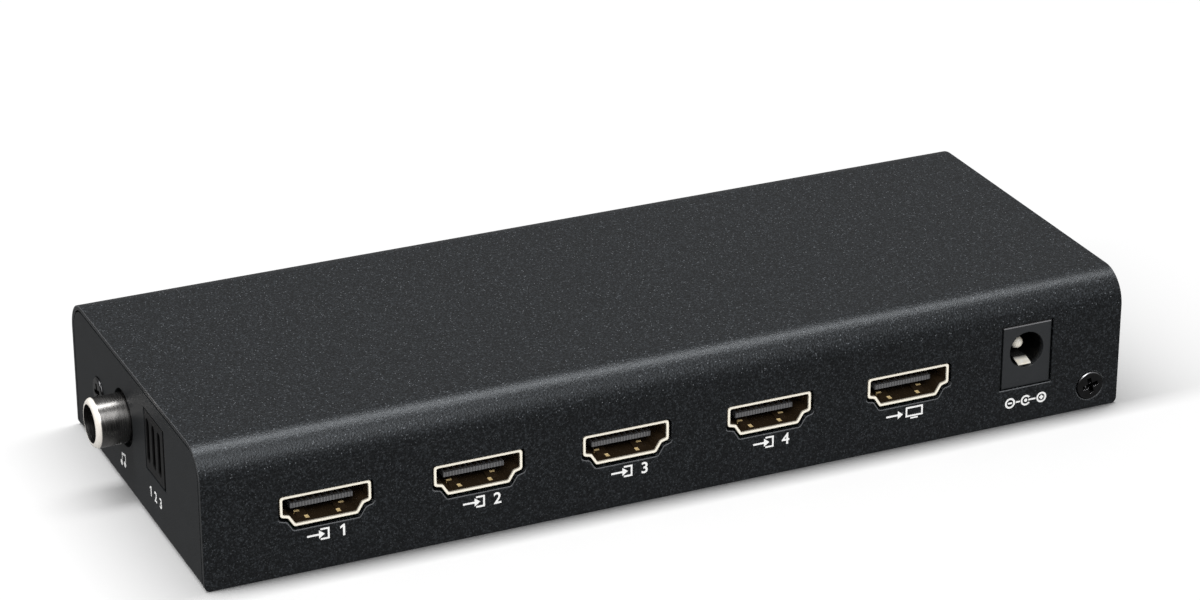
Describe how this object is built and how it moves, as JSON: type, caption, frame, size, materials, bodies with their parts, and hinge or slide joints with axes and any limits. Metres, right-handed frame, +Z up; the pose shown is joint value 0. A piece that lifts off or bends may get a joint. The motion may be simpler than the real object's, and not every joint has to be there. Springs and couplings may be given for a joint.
{
  "type": "hdmi switch box",
  "caption": "Flat black sheet-metal box that switches HDMI sources to one display, with rear sockets, front lights, a select button and an audio jack with a slide selector on one end.",
  "frame": {"origin": "middle of the case's underside", "axes": "+X along the length towards the audio end, +Y towards the socket side, +Z up"},
  "size_m": [0.1676, 0.0657, 0.0235],
  "materials": {
    "cover_paint": "black powder coat with fine glints",
    "chassis_paint": "smooth satin charcoal",
    "screw_black": "black plated",
    "board": "green solder mask",
    "steel": "plated",
    "gold_plate": "pale gold plate",
    "tongue_plastic": "moulded",
    "jack_plastic": "moulded dark grey",
    "nickel": "bright nickel plate",
    "black_plastic": "moulded black",
    "lever_plastic": "moulded black",
    "button_plastic": "smooth black",
    "light_lens": "smoky clear",
    "receiver_plastic": "dark filter plastic",
    "chip_plastic": "moulded with tinned leads",
    "can_metal": "plain metal can"
  },
  "bodies": {
    "case": {"wrap_cover": "cover_paint", "base_chassis": "chassis_paint", "cover_screws": "screw_black", "audio_jack_screw": "screw_black", "main_board": "board", "board_standoffs": "steel", "board_screws": "steel", "hdmi_shell_in_1": "gold_plate", "hdmi_shell_in_2": "gold_plate", "hdmi_shell_in_3": "gold_plate", "hdmi_shell_in_4": "gold_plate", "hdmi_shell_out": "gold_plate", "hdmi_insulator_in_1": "tongue_plastic", "hdmi_insulator_in_2": "tongue_plastic", "hdmi_insulator_in_3": "tongue_plastic", "hdmi_insulator_in_4": "tongue_plastic", "hdmi_insulator_out": "tongue_plastic", "hdmi_contacts_in_1": "gold_plate", "hdmi_contacts_in_2": "gold_plate", "hdmi_contacts_in_3": "gold_plate", "hdmi_contacts_in_4": "gold_plate", "hdmi_contacts_out": "gold_plate", "dc_jack_housing": "jack_plastic", "dc_jack_pin": "nickel", "dc_jack_spring": "nickel", "audio_jack_housing": "black_plastic", "audio_jack_barrel": "nickel", "audio_jack_insulator": "black_plastic", "audio_jack_contact": "nickel", "selector_housing": "black_plastic", "push_switch_body": "black_plastic", "power_light": "light_lens", "input_light_1": "light_lens", "input_light_2": "light_lens", "input_light_3": "light_lens", "input_light_4": "light_lens", "light_holders": "black_plastic", "receiver_shield": "nickel", "receiver_lens": "receiver_plastic", "receiver_leads": "steel", "switch_chip": "chip_plastic", "control_chip": "chip_plastic", "audio_chip": "chip_plastic", "power_regulator": "chip_plastic", "power_inductor": "black_plastic", "smoothing_capacitors": "can_metal", "clock_crystal": "can_metal"},
    "select_button": {"select_button": "button_plastic", "push_switch_plunger": "black_plastic"},
    "lever_1": {"selector_lever_1": "lever_plastic"},
    "lever_2": {"selector_lever_2": "lever_plastic"},
    "lever_3": {"selector_lever_3": "lever_plastic"}
  },
  "joints": [
    {"name": "select_press", "type": "slide", "parent": "case", "child": "select_button", "axis": [0, 1, 0], "range_m": [0, 0.0003], "stiffness_N_per_m": 4000},
    {"name": "selector_slide_1", "type": "slide", "parent": "case", "child": "lever_1", "axis": [0, 0, 1], "range_m": [0, 0.0026]},
    {"name": "selector_slide_2", "type": "slide", "parent": "case", "child": "lever_2", "axis": [0, 0, 1], "range_m": [0, 0.0026]},
    {"name": "selector_slide_3", "type": "slide", "parent": "case", "child": "lever_3", "axis": [0, 0, 1], "range_m": [0, 0.0026]}
  ]
}
